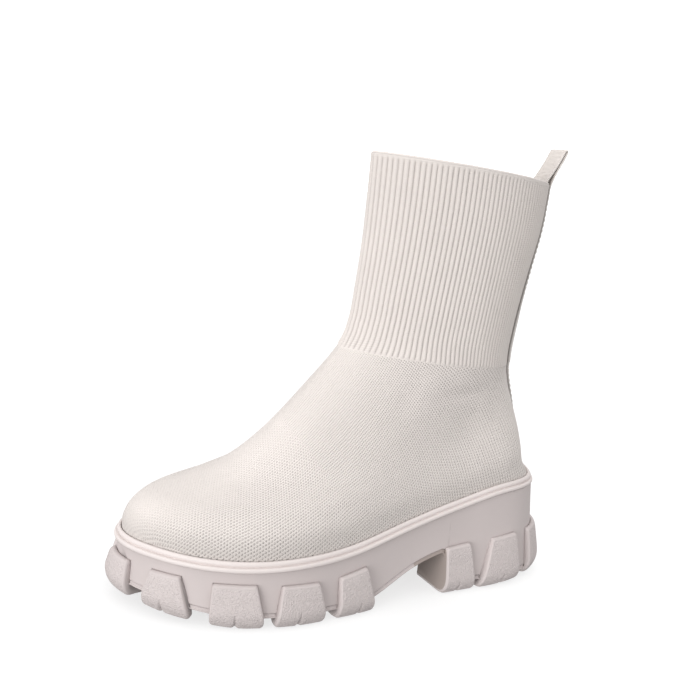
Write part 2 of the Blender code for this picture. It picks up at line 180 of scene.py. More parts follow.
# Lugs: places along the feather line from the middle of the heel's back
LUGS = (
    # foot_from, foot_to, top_from, top_to, notch, height at the heel side, height at the toe side
    (2.4, 40.4, 5.0, 39.6, 21.0, 30.2, 30.2),
    (48.5, 76.8, 51.5, 69.7, 61.5, 30.4, 28.9),
    (80.8, 103.4, 85.7, 103.1, 93.3, 28.2, 26.8),
    (155.1, 179.1, 161.1, 178.7, 165.6, 25.4, 22.3),
    (187.0, 213.4, 191.0, 211.3, 201.7, 21.8, 21.8),
    (219.0, 245.0, 223.4, 244.9, 232.7, 22.6, 22.6),
    (254.3, 279.2, 260.1, 276.3, 267.7, 23.7, 23.7),
)
TOE_LUG_HALF = 12.0
TOE_LUG_DRAFT = 1.5
TOE_LUG_HEIGHT = 23.8
LUG_TOP_THICK = 2.8
LUG_FACE_THICK = 3.9
LUG_FACE_LOW = 8.5
LUG_BEVEL = 1.6
LUG_BULGE = 0.35
LUG_CUTS = 2
LUG_LONG = (60.0, 250.0)
LUG_REACH = 22.0
LUG_END_REACH = 14.0
LUG_TAPER = 0.62
LUG_NOTCH = 1.0
LUG_NOTCH_HALF = 1.5
LUG_SINK = 1.2
LUG_BITE = 0.4
LUG_ROUND = 1.8
LUG_ROUND_STEPS = (0.0, 0.12, 0.32, 0.6, 0.95, 1.35, 1.8)
LUG_NOTCH_STEPS = (-1.7, -1.0, -0.5, -0.25, 0.0, 0.25, 0.5, 1.0, 1.7)
LUG_NEAREST = 0.08
LUG_STEP = 1.1
LUG_SLIT_DEEP = 0.5
LUG_SLIT_HALF = 0.3
LUG_SLIT_TOP = 8.0
LUG_FOOT = (
    # back from the face, up from the foot, back and up for each millimetre of the notch, slope
    (0.7, 4.6, 0.4, 0.5, 0.08),
    (2.4, 1.7, 0.6, 0.9, 0.02),
    (5.0, 0.0, 0.0, 1.0, 0.0),
    (9.0, 0.0, 0.0, 1.0, 0.0),
)
GRAIN_FOOT = (0.5, 3.0)
GRAIN_TOP = (0.8, 2.0)
GRAIN_END = (0.5, 1.5)

# Knit upper: one row per ring of the shell, from the edge in the sole to the collar
KNIT = 2.0
UPPER = np.array([
    # back, back_z, front, front_z, follow, half, oval, pinch
    (0.0, 54.7, 251.0, 29.7, 1.00, 49.4, 0.00, 0.50),
    (0.0, 60.3, 251.0, 35.3, 1.00, 49.4, 0.00, 0.50),
    (5.8, 67.0, 250.6, 40.5, 1.00, 49.4, 0.00, 0.50),
    (8.6, 77.0, 246.8, 47.5, 1.00, 48.6, 0.05, 0.50),
    (11.2, 87.5, 238.5, 53.8, 0.95, 45.6, 0.20, 0.50),
    (13.9, 97.0, 222.5, 58.6, 0.85, 41.8, 0.42, 0.51),
    (16.4, 105.0, 202.0, 66.8, 0.70, 38.8, 0.64, 0.52),
    (18.5, 111.5, 181.0, 83.6, 0.45, 36.7, 0.80, 0.55),
    (20.0, 117.5, 160.0, 107.0, 0.20, 35.2, 0.92, 0.60),
    (20.6, 124.0, 139.6, 132.6, 0.00, 33.9, 1.00, 0.66),
    (20.3, 136.0, 134.0, 148.0, 0.00, 33.4, 1.00, 0.70),
    (17.4, 158.0, 132.3, 166.0, 0.00, 33.4, 1.00, 0.70),
    (12.8, 183.0, 131.0, 190.0, 0.00, 33.4, 1.00, 0.70),
    (8.2, 207.0, 131.0, 214.0, 0.00, 33.4, 1.00, 0.70),
    (6.4, 233.7, 131.5, 239.4, 0.00, 33.4, 1.00, 0.70),
])
RIB_ROW = 9
COLLAR_ROW = 14
RIB_STEP = 0.5
RIBS_A_SIDE = 50
RIB_PLACES = (0.0, 0.07, 0.16, 0.30, 0.5, 0.70, 0.84, 0.93)
RIB_EVEN = 10.3
RIB_GATHER = (7.0, 9.0)
RIB_SPREAD = (0.55, 1.0)
RIB_DEPTH = 0.92
RIB_ROUND = 0.55
RIB_START = 0.07
RIB_END = (13.84, 13.93)
RIB_LEAD = 0.1
RIB_UNEVEN = 0.06
RIB_WANDER = 0.05
RIB_BEAT = (3.1, 1.7)
RIB_SWAY = (2.3, 3.0)
DEPTH_SEED = 1.0
SWAY_SEED = 0.4
WANDER = (
    # pace, shift by the seed, weight
    (2.399, 1.0, 0.6),
    (0.77, 2.1, 0.4),
)
HEEL_TUCK = 4.0
TUCK_HEIGHTS = (60.3, 67.5)
HEM_DROP = 0.05
HEM_STEPS = 8
HEM_RIPPLE = 0.06
FOOT_ROWS = 84
SHAFT_LEVELS = np.concatenate((
    (9.0, 9.02, 9.045, 9.07, 9.1, 9.15),
    np.linspace(9.25, 13.75, 26),
    (13.82, 13.86, 13.9, 13.925, 13.95),
))
INNER_LEVELS = (13.6, 12.8, 12.0, 11.0, *np.arange(10.0, 0.5, -0.5), 0.0)
FINE_RING = 401
RING_TURNS = np.linspace(0, np.pi, FINE_RING)
RIDGE_STEPS = 120

# Soft troughs and ridges of the knit on the outer side, in the side plane
FOLDS = (
    # y, z, direction in degrees, half length, half width, depth
    (48.0, 112.5, 4.0, 20.0, 4.0, 0.8),
    (66.0, 103.0, -38.0, 20.0, 5.0, -0.7),
    (52.0, 95.0, -38.0, 24.0, 5.5, 0.6),
    (10.0, 112.0, 60.0, 16.0, 6.0, 0.5),
)
FOLD_SIDE = (2.0, 18.0)

# The knit's wales run along the foot and bend up into the shaft around a point before the ankle
BEND_Y = -70.0
BEND_Z = 138.0
BEND_RADIUS = 110.0
BEND_ANGLE = np.radians(65.0)
ROUND_POWER = 1.5
KNIT_PITCH = 1.4
KNIT_WAVES = (
    # direction in degrees, weight at the heel, weight at the toe
    (0.0, 0.6, 1.5),
    (120.0, 1.8, 0.8),
    (240.0, 0.6, 0.7),
)
KNIT_CHANGE = (0.2, 0.8)
PIT_RANGE = (0.0, 2.8)
SOLE_SHADE = (3.0, 15.0)
TOP_SOFT = (8.0, 42.0)
TOP_RELIEF = 0.45
BACK_TURN = 34.0
RIB_STITCH = 1.15

# Insole
INSOLE_THICK = 3.0
INSOLE_IN = 2.6
INSOLE_CUP = 0.8
INSOLE_ROUND = 0.6
INSOLE_STEPS = 121

# Webbing tape over the back seam
TAPE_HALF = 8.5
TAPE_THICK = 0.9
TAPE_LOW = 1.45
TAPE_HIGH = 13.96
TAPE_ROWS = 240
TAPE_PLACES = (-1.0, -0.96, -0.88, -0.7, -0.4, 0.0, 0.4, 0.7, 0.88, 0.96, 1.0)
TAPE_EDGE = 0.55
TAPE_SELVAGE = 0.15
SELVAGE_PLACE = 0.9
SELVAGE_WIDTH = 0.07
BACK_TURNS = np.linspace(0, 1.0, 60)
RIDGE_PINCH = 0.7
RIDGE_OUT = 5.0
RIDGE_WIDTH = 14.0
RIDGE_LEVELS = (3.5, 8.5, 10.5, 13.6)
SEAM_SINK = 0.4
SEAM_ASIDE = 0.5
SEAM_WIDTH = 1.1
STITCH_PLACE = 0.86
STITCH_PITCH = 3.2
STITCH_LONG = 2.3
STITCH_THICK = 0.38
STITCH_LIFT = (0.0, 0.25, 0.0)
STITCH_TIP = 0.02
STITCH_SIDES = 6
STITCH_RINGS = 7
STITCH_LEVELS = 600
# Painted shadow: a dark band along the tape's edges, where it meets the knit
TAPE_SHADOW_BORDER = 0.3
SHADOW_BORDER_SOFT = 0.4
WARP_PITCH = 0.7

# Pull loop of folded webbing over the back of the collar
LOOP_HALF = 6.6
LOOP_THICK = 1.1
LOOP_INNER = -1.4
LOOP_OUTER = 2.4
LOOP_BOW = 1.0
LOOP_LEAN = 26.0
LOOP_FOOT = -0.4
LOOP_FLAT = 0.5
LOOP_RISE = 20.8
LOOP_SEWN = 12.8
LOOP_BEND = 0.4
LOOP_RIB = 0.95
LOOP_RIB_DEEP = 0.2
LOOP_RIB_WIDE = 0.3
LOOP_STEP = 0.16
LOOP_START = 1.0
LOOP_HANG = 1.5
LOOP_RISES = (0.35, 0.7)
LOOP_TURNS = 6
LOOP_CUTS = 3
LOOP_EDGES = (
    # share of the half width, share of the thickness
    (1.0, 0.45),
    (0.97, 0.9),
    (0.9, 1.0),
    (0.6, 1.0),
    (0.2, 1.0),
)

# Bar of stitches at the foot of the loop
BAR_LIFTS = (2.0, 3.2)
BAR_PLACES = np.arange(-5.0, 5.1, 1.6)
BAR_HALF = 0.6

# Camera of the photograph, with its near end in metres
CAMERA_TARGET = (20.61, -23.64, 134.97)
CAMERA_DISTANCE = 518.7
CAMERA_AZIMUTH = 56.44
CAMERA_ELEVATION = 9.305
CAMERA_ROLL = 6.375
CAMERA_LENS = 50.82
CAMERA_NEAR = 0.01

# Colours, linear, and wear of the surfaces
KNIT_COLOUR = (0.70, 0.645, 0.612)
LINING_COLOUR = (0.55, 0.50, 0.47)
WEBBING_COLOUR = (0.70, 0.652, 0.617)
# Painted shade: darker rubber where the arch and the breast of the heel lie in shade
UNDERSIDE_SHADE_COLOUR = (0.35, 0.295, 0.27)
WALL_COLOUR = (0.53, 0.472, 0.462)
WELT_COLOUR = (0.70, 0.635, 0.615)
LUG_COLOUR = (0.555, 0.498, 0.488)
THREAD_COLOUR = (0.78, 0.74, 0.70)
SHEEN_ROUGH = 0.6
MARK_RANGE = (0.3, 0.7)
MARK_GLOSS = 0.06
MARK_DULL = 0.08

# Stage and light, with the room in metres
WHITE = (1.0, 1.0, 1.0, 1.0)
FLOOR_COLOUR = (0.3, 0.3, 0.3)
FLOOR_GLOW = 0.72
BACKDROP_GLOW = 1.2
ROOM_HALF = 60.0
SKY_LIGHT = 1.35
GROUND_LIGHT = 0.13
SUN_FROM = (0.44, -0.93, 0.02)
SUN_STRENGTH = 1.78
SUN_SOFTNESS = 40.0


def smooth(x, xs, ys):
    """Value of a smooth curve through the points of a table."""
    step = np.diff(xs)
    slope = np.diff(ys) / step
    inner = (slope[:-1] * step[1:] + slope[1:] * step[:-1]) / (step[:-1] + step[1:])
    tangent = np.concatenate(([slope[0]], inner, [slope[-1]]))
    i = np.clip(np.searchsorted(xs, x) - 1, 0, len(xs) - 2)
    t = (x - xs[i]) / step[i]
    start = (1 + 2 * t) * (1 - t) ** 2 * ys[i] + t * (1 - t) ** 2 * step[i] * tangent[i]
    end = t * t * (3 - 2 * t) * ys[i + 1] + t * t * (t - 1) * step[i] * tangent[i + 1]
    return start + end


def ease(x, low, high):
    """Smooth step from 0 at low to 1 at high."""
    t = np.clip((x - low) / (high - low), 0, 1)
    return t * t * (3 - 2 * t)


def hill(x, width):
    """Bell curve: 1 at 0, soft and low past the width."""
    return np.exp(-(x / width) ** 2)


def unit(vectors):
    return vectors / np.linalg.norm(vectors, axis=-1, keepdims=True)


def distances(line):
    """Distance of each point of a line from its start."""
    return np.concatenate(([0], np.cumsum(np.linalg.norm(np.diff(line, axis=0), axis=1))))


def turn_of(share):
    """Angle that runs from 0 at the heel's back to pi at the toe's tip."""
    return np.arccos(1 - 2 * np.clip(share, 0, 1))


def share_of(turn):
    return (1 - np.cos(turn)) / 2


OUTLINE_TURN = np.concatenate(([0], turn_of(OUTLINE[:, 0]), [np.pi]))
OUTLINE_X = {
    1: np.concatenate(([0], OUTLINE[:, 1], [TOE_TIP_X])),
    -1: np.concatenate(([0], -OUTLINE[:, 2], [TOE_TIP_X])),
}


def foot_x(turn, side):
    return smooth(turn, OUTLINE_TURN, OUTLINE_X[side])


def outline(turn, side, out=0.0):
    """Plan point of the feather line, moved outwards by a distance."""
    small = 1e-4
    low = np.clip(turn - small, 0, np.pi)
    high = np.clip(turn + small, 0, np.pi)
    dx = foot_x(high, side) - foot_x(low, side)
    dy = LENGTH / 2 * (np.cos(high) - np.cos(low))
    norm = np.hypot(dx, dy)
    x = foot_x(turn, side) - side * dy / norm * out
    y = HEEL_Y - LENGTH * share_of(turn) + side * dx / norm * out
    return x, y


def feather_z(share):
    return smooth(share, *FEATHER.T)


def midsole_top(share):
    return feather_z(share) - WELT_HEIGHT - GAP


def wall_out(share, z):
    """How far the side wall stands out of the feather line at a height."""
    heel = np.clip(1 - share / HEEL_END, 0, 1)
    flare = WALL_FLARE + HEEL_FLARE * heel
    return WALL_OUT + HEEL_OUT * heel + flare * (midsole_top(share) - z)


def underside(share):
    return np.interp(share, *UNDERSIDE.T)


def spring(share):
    """Height of the lugs' feet over the floor."""
    toe = np.clip((share - SPRING_START) / (1 - SPRING_START), 0, None)
    heel = np.clip((BEVEL_END - share) / BEVEL_END, 0, None)
    return SPRING_RISE * toe ** SPRING_POWER + BEVEL_RISE * heel ** SPRING_POWER


# Distances along the two sides of the feather line
FINE_TURN = np.linspace(0, np.pi, FINE_STEPS)
ALONG = {side: distances(np.column_stack(outline(FINE_TURN, side))) for side in (1, -1)}


def plan_at(distance, side, out):
    """Plan point and share at a distance along one side; past the toe it goes on along the other side."""
    total = ALONG[side][-1]
    past = distance > total
    other = np.interp(ALONG[-side][-1] - (distance - total), ALONG[-side], FINE_TURN)
    turn = np.where(past, other, np.interp(distance, ALONG[side], FINE_TURN))
    x, y = np.where(past, outline(turn, -side, out), outline(turn, side, out))
    return x, y, share_of(turn)


def corner_cut(points, times):
    """Open line with its corners rounded off; its two ends stay."""
    for _ in range(times):
        near = (1 - CORNER_CUT) * points[:-1] + CORNER_CUT * points[1:]
        far = CORNER_CUT * points[:-1] + (1 - CORNER_CUT) * points[1:]
        middle = np.stack((near, far), axis=1).reshape(-1, points.shape[1])
        points = np.vstack((points[:1], middle[1:-1], points[-1:]))
    return points


def add_object(name, data):
    thing = bpy.data.objects.new(name, data)
    bpy.context.scene.collection.objects.link(thing)
    return thing


def add_mesh(name, points, faces, materials, slots=None, maps=None):
    """Smooth mesh object that rides on the part, from points in millimetres."""
    mesh = bpy.data.meshes.new(name)
    mesh.from_pydata((np.asarray(points, float) * MM).tolist(), [], faces)
    for material in materials:
        mesh.materials.append(material)
    if slots is not None:
        mesh.polygons.foreach_set("material_index", np.asarray(slots, np.int32))
    for key, values in (maps or {}).items():
        corner = np.zeros(len(mesh.loops), np.int32)
        mesh.loops.foreach_get("vertex_index", corner)
        layer = mesh.uv_layers.new(name=key)
        layer.data.foreach_set("uv", np.asarray(values, np.float32)[corner].ravel())
    mesh.polygons.foreach_set("use_smooth", np.ones(len(mesh.polygons), bool))
    mesh.validate()
    piece = add_object(name, mesh)
    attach(piece, "root")
    return piece


def band(first, second):
    """Faces between two closed rings of point numbers; a ring of twice as many points may be second."""
    n = len(first)
    faces = []
    for i in range(n):
        j = (i + 1) % n
        if len(second) == n:
            faces.append((first[i], first[j], second[j], second[i]))
        else:
            faces.append((first[i], first[j], second[2 * j], second[2 * i + 1], second[2 * i]))
    return faces


def bands(rings):
    """Faces between each ring and the next."""
    return [face for first, second in zip(rings, rings[1:]) for face in band(first, second)]


def tube(rings):
    """Faces of a tube through rings, closed at both ends."""
    return [tuple(rings[0][::-1]), tuple(rings[-1])] + bands(rings)


def turned(faces):
    return [face[::-1] for face in faces]


def numbered(rows, start=0):
    """Point numbers of rows of points that are stacked one after the other."""
    numbers = []
    for row in rows:
        numbers.append(list(range(start, start + len(row))))
        start += len(row)
    return numbers


def across(ring, middle=()):
    """Faces that close a ring from its outer to its inner side, over optional rows of middle points."""
    count = len(ring) // 2 - 1
    sides = (ring[1:count + 1], *middle, ring[:-count - 1:-1])
    rows = [[ring[0], *row, ring[count + 1]] for row in sides]
    faces = []
    for first, second in zip(rows, rows[1:]):
        for k in range(count + 1):
            face = (first[k], first[k + 1], second[k + 1], second[k])
            faces.append(tuple(dict.fromkeys(face)))
    return faces


def stacked(rings, below, above):
    """Points, edge faces and sheets of a stack of rings, over rows of middle points below and above."""
    count = len(rings)
    rows = [*rings, *below, *above]
    numbers = numbered(rows)
    split = count + len(below)
    sheets = turned(across(numbers[0], numbers[count:split]))
    sheets += across(numbers[count - 1], numbers[split:])
    return np.vstack(rows), bands(numbers[:count]), sheets


def plan_ring(shares, outs, heights):
    """Ring of points around the sole: heel, outer side, toe, inner side."""
    turns = turn_of(shares)
    outer, inner = (np.column_stack((*outline(turns, side, outs), heights)) for side in (1, -1))
    return np.vstack((outer, inner[-2:0:-1]))


def plan_middle(shares, heights, set_back):
    """Rows of points between the two sides, set back at the breast of the heel."""
    inner = shares[1:-1]
    turns = turn_of(inner)
    near = np.clip(1 - np.abs(inner - BREAST_SHARE) / BREAST_REACH, 0, 1)
    rows = []
    for place in CROSS_ROWS:
        x = foot_x(turns, 1) * (1 - place) + foot_x(turns, -1) * place
        y = HEEL_Y - LENGTH * share_of(turns) + set_back * np.sin(np.pi * place) * near
        rows.append(np.column_stack((x, y, heights[1:-1])))
    return rows


def profile_offset(shares, heights, distance):
    """The underside's profile, moved up and into the sole by a distance."""
    along = unit(np.column_stack((-LENGTH * np.diff(shares), np.diff(heights))))
    normal = np.column_stack((along[:, 1], -along[:, 0]))
    mean = np.vstack((normal[:1], normal)) + np.vstack((normal, normal[-1:]))
    scale = 2 / np.sum(mean * mean, axis=1)
    move = mean * scale[:, None] * distance
    moved = shares - move[:, 0] / LENGTH
    moved[0] = 0.0
    moved[-1] = 1.0
    return moved, heights + move[:, 1]


def fine_profile():
    """Underside with rounded corners, in steps that are short at the heel, toe and breast."""
    line = corner_cut(UNDERSIDE * (LENGTH, 1.0), PROFILE_CUTS) / (LENGTH, 1.0)
    points = [line[:1]]
    for first, second in zip(line, line[1:]):
        length = np.hypot((second[0] - first[0]) * LENGTH, second[1] - first[1])
        turns = turn_of(np.array((first[0], second[0])))
        steps = int(max(1, np.ceil(length / PROFILE_STEP), np.ceil(np.diff(turns)[0] / PROFILE_TURN)))
        t = np.linspace(0, 1, steps + 1)[1:]
        shares = share_of(turns[0] + (turns[1] - turns[0]) * t)
        points.append(np.column_stack((shares, first[1] + (second[1] - first[1]) * t)))
    return np.vstack(points).T


# Shader helpers

class Nodes:
    """Short hand to build a node material."""

    def __init__(self, name, colour, roughness, sheen=0.0):
        self.colour = colour
        self.material = bpy.data.materials.new(name)
        self.material.use_nodes = True
        self.tree = self.material.node_tree
        self.shader = self.tree.nodes["Principled BSDF"]
        self.set("Base Color", (*colour, 1.0))
        self.set("Roughness", roughness)
        if sheen:
            self.set("Sheen Weight", sheen)
            self.set("Sheen Roughness", SHEEN_ROUGH)

    def add(self, kind, **settings):
        node = self.tree.nodes.new(kind)
        for key, value in settings.items():
            setattr(node, key, value)
        return node

    def put(self, socket, value):
        if isinstance(value, bpy.types.NodeSocket):
            self.tree.links.new(value, socket)
        else:
            socket.default_value = value

    def set(self, key, value):
        self.put(self.shader.inputs[key], value)

    def math(self, operation, *values):
        node = self.add("ShaderNodeMath", operation=operation)
        for socket, value in zip(node.inputs, values):
            self.put(socket, value)
        return node.outputs[0]

    def scaled(self, value, by, plus=0.0):
        return self.math("MULTIPLY_ADD", value, by, plus)

    def wave(self, value, pitch):
        """Sine wave along a value."""
        return self.math("SINE", self.scaled(value, by=2 * np.pi / pitch))

    def ramp(self, value, low, high, to_low=0.0, to_high=1.0):
        node = self.add("ShaderNodeMapRange", interpolation_type="SMOOTHSTEP")
        for socket, entry in zip(node.inputs, (value, low, high, to_low, to_high)):
            self.put(socket, entry)
        return node.outputs[0]

    def place(self):
        return self.add("ShaderNodeTexCoord").outputs["Object"]

    def split(self, vector):
        node = self.add("ShaderNodeSeparateXYZ")
        self.put(node.inputs[0], vector)
        return list(node.outputs)

    def flat(self, name):
        """The two coordinates of a named map."""
        return self.split(self.add("ShaderNodeUVMap", uv_map=name).outputs[0])[:2]

    def noise(self, scale, by, plus=0.0, detail=2.0):
        node = self.add("ShaderNodeTexNoise")
        for key, value in (("Vector", self.place()), ("Scale", scale), ("Detail", detail)):
            self.put(node.inputs[key], value)
        return self.scaled(node.outputs["Fac"], by, plus)

    def cells(self, scale, by):
        node = self.add("ShaderNodeTexVoronoi", feature="SMOOTH_F1")
        self.put(node.inputs["Vector"], self.place())
        self.put(node.inputs["Scale"], scale)
        return self.scaled(node.outputs["Distance"], by)

    def tint(self, amount, light, dark):
        """Base colour from a lighter to a darker shade of the material, by an amount from 0 to 1."""
        node = self.add("ShaderNodeMix", data_type="RGBA")
        self.put(node.inputs[0], amount)
        for number, factor in ((6, light), (7, dark)):
            self.put(node.inputs[number], (*(c * factor for c in self.colour), 1.0))
        self.set("Base Color", node.outputs[2])

    def bump(self, height, depth):
        """Relief from a height of 0 to 1 and its depth in millimetres."""
        node = self.add("ShaderNodeBump")
        self.put(node.inputs["Height"], height)
        self.put(node.inputs["Distance"], depth * MM)
        self.set("Normal", node.outputs[0])


def foot_knit():
    """Honeycomb of small pits in rows that follow the wales."""
    n = Nodes("foot_knit", KNIT_COLOUR, roughness=0.95, sheen=0.1)
    across_wales, along_wales = n.flat("knit")
    drift = n.noise(scale=90.0, by=1.0, plus=-0.5)
    u = n.math("ADD", across_wales, drift)
    v = n.math("ADD", along_wales, drift)
    over_sole, along_foot = n.flat("foot")
    total = 0.0
    for angle, heel_weight, toe_weight in KNIT_WAVES:
        a = np.radians(angle)
        part = n.scaled(v, by=float(np.sin(a)) * 2 * np.pi / KNIT_PITCH)
        phase = n.scaled(u, by=float(np.cos(a)) * 2 * np.pi / KNIT_PITCH, plus=part)
        weight = n.ramp(along_foot, *KNIT_CHANGE, heel_weight, toe_weight)
        total = n.scaled(n.math("COSINE", phase), by=weight, plus=total)
    soft = n.ramp(across_wales, *TOP_SOFT, TOP_RELIEF, 1.0)
    pit = n.math("MULTIPLY", n.ramp(total, *PIT_RANGE), soft)
    bars = n.math("SUBTRACT", 1.0, pit)
    n.bump(n.noise(scale=2600.0, by=0.25, plus=bars, detail=3.0), depth=0.62)
    # Painted shade: the knit is darker in its pits and towards the sole, less so over the top, over
    # patches of random tone
    low = n.ramp(over_sole, *SOLE_SHADE, to_low=0.5, to_high=0.0)
    patch = n.noise(scale=55.0, by=0.25, plus=low, detail=4.0)
    n.tint(n.scaled(pit, by=0.2, plus=patch), light=1.05, dark=0.75)
    return n.material


def rib_knit():
    """Fine stitches along the ribs, with painted shade in the grooves between them."""
    n = Nodes("rib_knit", KNIT_COLOUR, roughness=0.95, sheen=0.1)
    groove, up = n.flat("ribs")
    drift = n.noise(scale=160.0, by=0.8, plus=-0.4)
    stitch = n.scaled(n.wave(n.math("ADD", up, drift), RIB_STITCH), by=0.225, plus=0.225)
    n.bump(n.noise(scale=2600.0, by=0.8, plus=stitch, detail=3.0), depth=0.16)
    patch = n.noise(scale=70.0, by=0.3, detail=4.0)
    # Painted shade in the grooves, over patches of random tone
    n.tint(n.scaled(groove, by=0.9, plus=patch), light=1.03, dark=0.78)
    return n.material


def cloth(name, pitch, depth):
    """Plain woven lining: crossing waves of threads."""
    n = Nodes(name, LINING_COLOUR, roughness=0.9, sheen=0.08)
    x, y, z = (n.wave(part, pitch * MM) for part in n.split(n.place()))
    weave = n.math("ADD", n.math("MULTIPLY", x, y), n.math("MULTIPLY", y, z))
    height = n.scaled(weave, by=0.25, plus=0.5)
    n.bump(height, depth)
    n.tint(n.scaled(height, by=-0.5, plus=0.7), light=1.05, dark=0.85)
    return n.material


def rubber(name, colour, roughness, mottle):
    """Smooth moulded rubber with faint clouds and handling marks."""
    n = Nodes(name, colour, roughness)
    cloud = n.noise(scale=26.0, by=0.7, detail=3.0)
    n.tint(n.noise(scale=420.0, by=0.3, plus=cloud), light=1.0 + mottle, dark=1.0 - mottle)
    marks = n.noise(scale=60.0, by=1.0, detail=3.0)
    n.set("Roughness", n.ramp(marks, *MARK_RANGE, roughness - MARK_GLOSS, roughness + MARK_DULL))
    n.bump(n.noise(scale=900.0, by=1.0), depth=0.03)
    return n.material


def lug_rubber():
    """Grained rubber; the grain fades out where the map says that the face is smooth."""
    n = Nodes("lug_rubber", LUG_COLOUR, roughness=0.75)
    grain_share, _ = n.flat("grain")
    grain = n.noise(scale=2000.0, by=0.5, plus=n.cells(scale=1350.0, by=0.9))
    n.bump(n.math("MULTIPLY", grain, grain_share), depth=0.55)
    cloud = n.noise(scale=40.0, by=0.5, detail=3.0)
    pores = n.scaled(grain, by=-1.0, plus=0.6)
    n.tint(n.scaled(pores, by=grain_share, plus=cloud), light=1.06, dark=0.80)
    return n.material


def webbing():
    """Woven tape: fine lengthwise threads over the cross ribs, with a painted shadow along its edges."""
    n = Nodes("webbing", WEBBING_COLOUR, roughness=0.85, sheen=0.1)
    side, along = n.flat("weave")
    weft = n.wave(along, LOOP_RIB)
    ribs = n.scaled(weft, by=0.3, plus=0.5)
    height = n.scaled(n.math("MULTIPLY", n.wave(side, WARP_PITCH), weft), by=0.3, plus=ribs)
    n.bump(height, depth=0.16)
    # Painted shadow: darker along the tape's edges
    edge = TAPE_HALF - TAPE_SHADOW_BORDER
    edge_shadow = n.ramp(n.math("ABSOLUTE", side), edge - SHADOW_BORDER_SOFT, edge)
    n.tint(n.scaled(height, by=-0.2, plus=n.scaled(edge_shadow, by=0.8, plus=0.2)), light=1.06, dark=0.58)
    return n.material


# Pieces of the sole

def add_sole_wall():
    shares, under = fine_profile()
    low_shares, low = profile_offset(shares, under, PLATE_THICK + GAP)
    high = midsole_top(shares)
    rows = []
    for place in WALL_ROWS:
        part = low_shares * (1 - place) + shares * place
        z = low * (1 - place) + high * place
        out = wall_out(low_shares, low) * (1 - place) + wall_out(shares, high) * place
        rows.append(plan_ring(part, out - WALL_HOLLOW * np.sin(np.pi * place), z))
    points, edge, sheets = stacked(rows, plan_middle(low_shares, low, BREAST_SETBACK), [])
    paint = rubber("wall_rubber", WALL_COLOUR, roughness=0.6, mottle=0.03)
    piece = add_mesh("sole_wall", points, edge + sheets, [paint])
    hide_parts("midsole")


def plate_mesh():
    """Outsole plate with a fine double rim along its edge."""
    shares, under = fine_profile()
    rows = []
    for out, share in PLATE_EDGE:
        part, z = profile_offset(shares, under, PLATE_THICK * share)
        rows.append(plan_ring(part, wall_out(part, z) + out, z))
    below = plan_middle(shares, under, BREAST_SETBACK)
    above = plan_middle(*profile_offset(shares, under, PLATE_THICK), BREAST_SETBACK)
    return stacked(rows, below, above)


def lug_sections(columns, side, reach):
    """Rows of points of one lug: one section for each column across it."""
    sections = []
    grains = []
    for foot, top, inner, from_notch, from_end, crown, height in columns:
        _, _, share = plan_at(foot, side, 0.0)
        floor = spring(share)
        low = floor + LUG_FACE_LOW
        wall = wall_out(share, height) + GAP
        upper = wall + LUG_TOP_THICK
        face = wall_out(share, low) + GAP + LUG_FACE_THICK + LUG_BULGE * crown
        notch = LUG_NOTCH * max(0.0, 1 - abs(from_notch) / LUG_NOTCH_HALF)
        line = [
            # out, height, place along the lug's slope from foot to top
            (wall - LUG_BITE, height, 1.0),
            (upper - LUG_BEVEL, height, 1.0),
            (upper, height - LUG_BEVEL, 0.95),
            ((upper + face) / 2, (height - LUG_BEVEL + low) / 2, 0.6),
            (face, low, 0.25),
        ]
        for back, up, notch_back, notch_up, slope in LUG_FOOT:
            line.append((face - back - notch_back * notch, floor + up + notch_up * notch, slope))
        line = corner_cut(np.array(line), LUG_CUTS)
        slit = LUG_SLIT_DEEP * hill(from_notch, LUG_SLIT_HALF)
        line[:, 0] -= slit * ease(floor + LUG_SLIT_TOP - line[:, 1], 0.0, 1.0)
        short = np.clip(1 - from_end / LUG_ROUND, 0, 1)
        inset = LUG_ROUND * (1 - np.sqrt(1 - short ** 2))
        along = unit(np.gradient(line[:, :2], axis=0))
        line[1:, 0] += along[1:, 1] * inset
        line[1:, 1] -= along[1:, 0] * inset
        x, y, _ = plan_at(foot + (top - foot) * line[:, 2], side, line[:, 0])
        section = list(zip(x, y, line[:, 1]))
        x, y, _ = plan_at(inner, side, -reach)
        inner_share = (HEEL_Y - y) / LENGTH
        section.append((x, y, spring(inner_share) + notch + inset))
        section.append((x, y, underside(inner_share) + LUG_SINK))
        base = underside(share) + LUG_SINK
        x, y, _ = plan_at(foot, side, wall_out(share, base) + GAP - LUG_BITE)
        section.append((x, y, base))
        sections.append(np.array(section, float))
        grain = ease(line[:, 1] - floor, *GRAIN_FOOT) * ease(height - line[:, 1], *GRAIN_TOP)
        grains += [*(grain * ease(from_end, *GRAIN_END)), 0, 0, 0]
    return sections, grains


def lug_columns(foot_from, foot_to, top_from, top_to, notch, height_from, height_to):
    """Columns of a lug from its heel side to its toe side, close together at its ends and notch."""
    width = foot_to - foot_from
    ends = np.array(LUG_ROUND_STEPS)
    places = np.concatenate((ends, np.arange(LUG_ROUND, width - LUG_ROUND, LUG_STEP), width - ends))
    if notch is not None:
        places = np.concatenate((places, notch - foot_from + np.array(LUG_NOTCH_STEPS)))
    places = np.unique(np.round(places, 3))
    places = places[np.concatenate(([True], np.diff(places) > LUG_NEAREST))]
    centre = (foot_from + foot_to) / 2
    share = places / width
    foot = foot_from + places
    top = top_from + (top_to - top_from) * share
    inner = centre + (foot - centre) * LUG_TAPER
    from_notch = np.full(len(foot), LENGTH) if notch is None else foot - notch
    from_end = np.minimum(places, width - places)
    height = height_from + (height_to - height_from) * share
    return np.column_stack((foot, top, inner, from_notch, from_end, 1 - (2 * share - 1) ** 2, height))


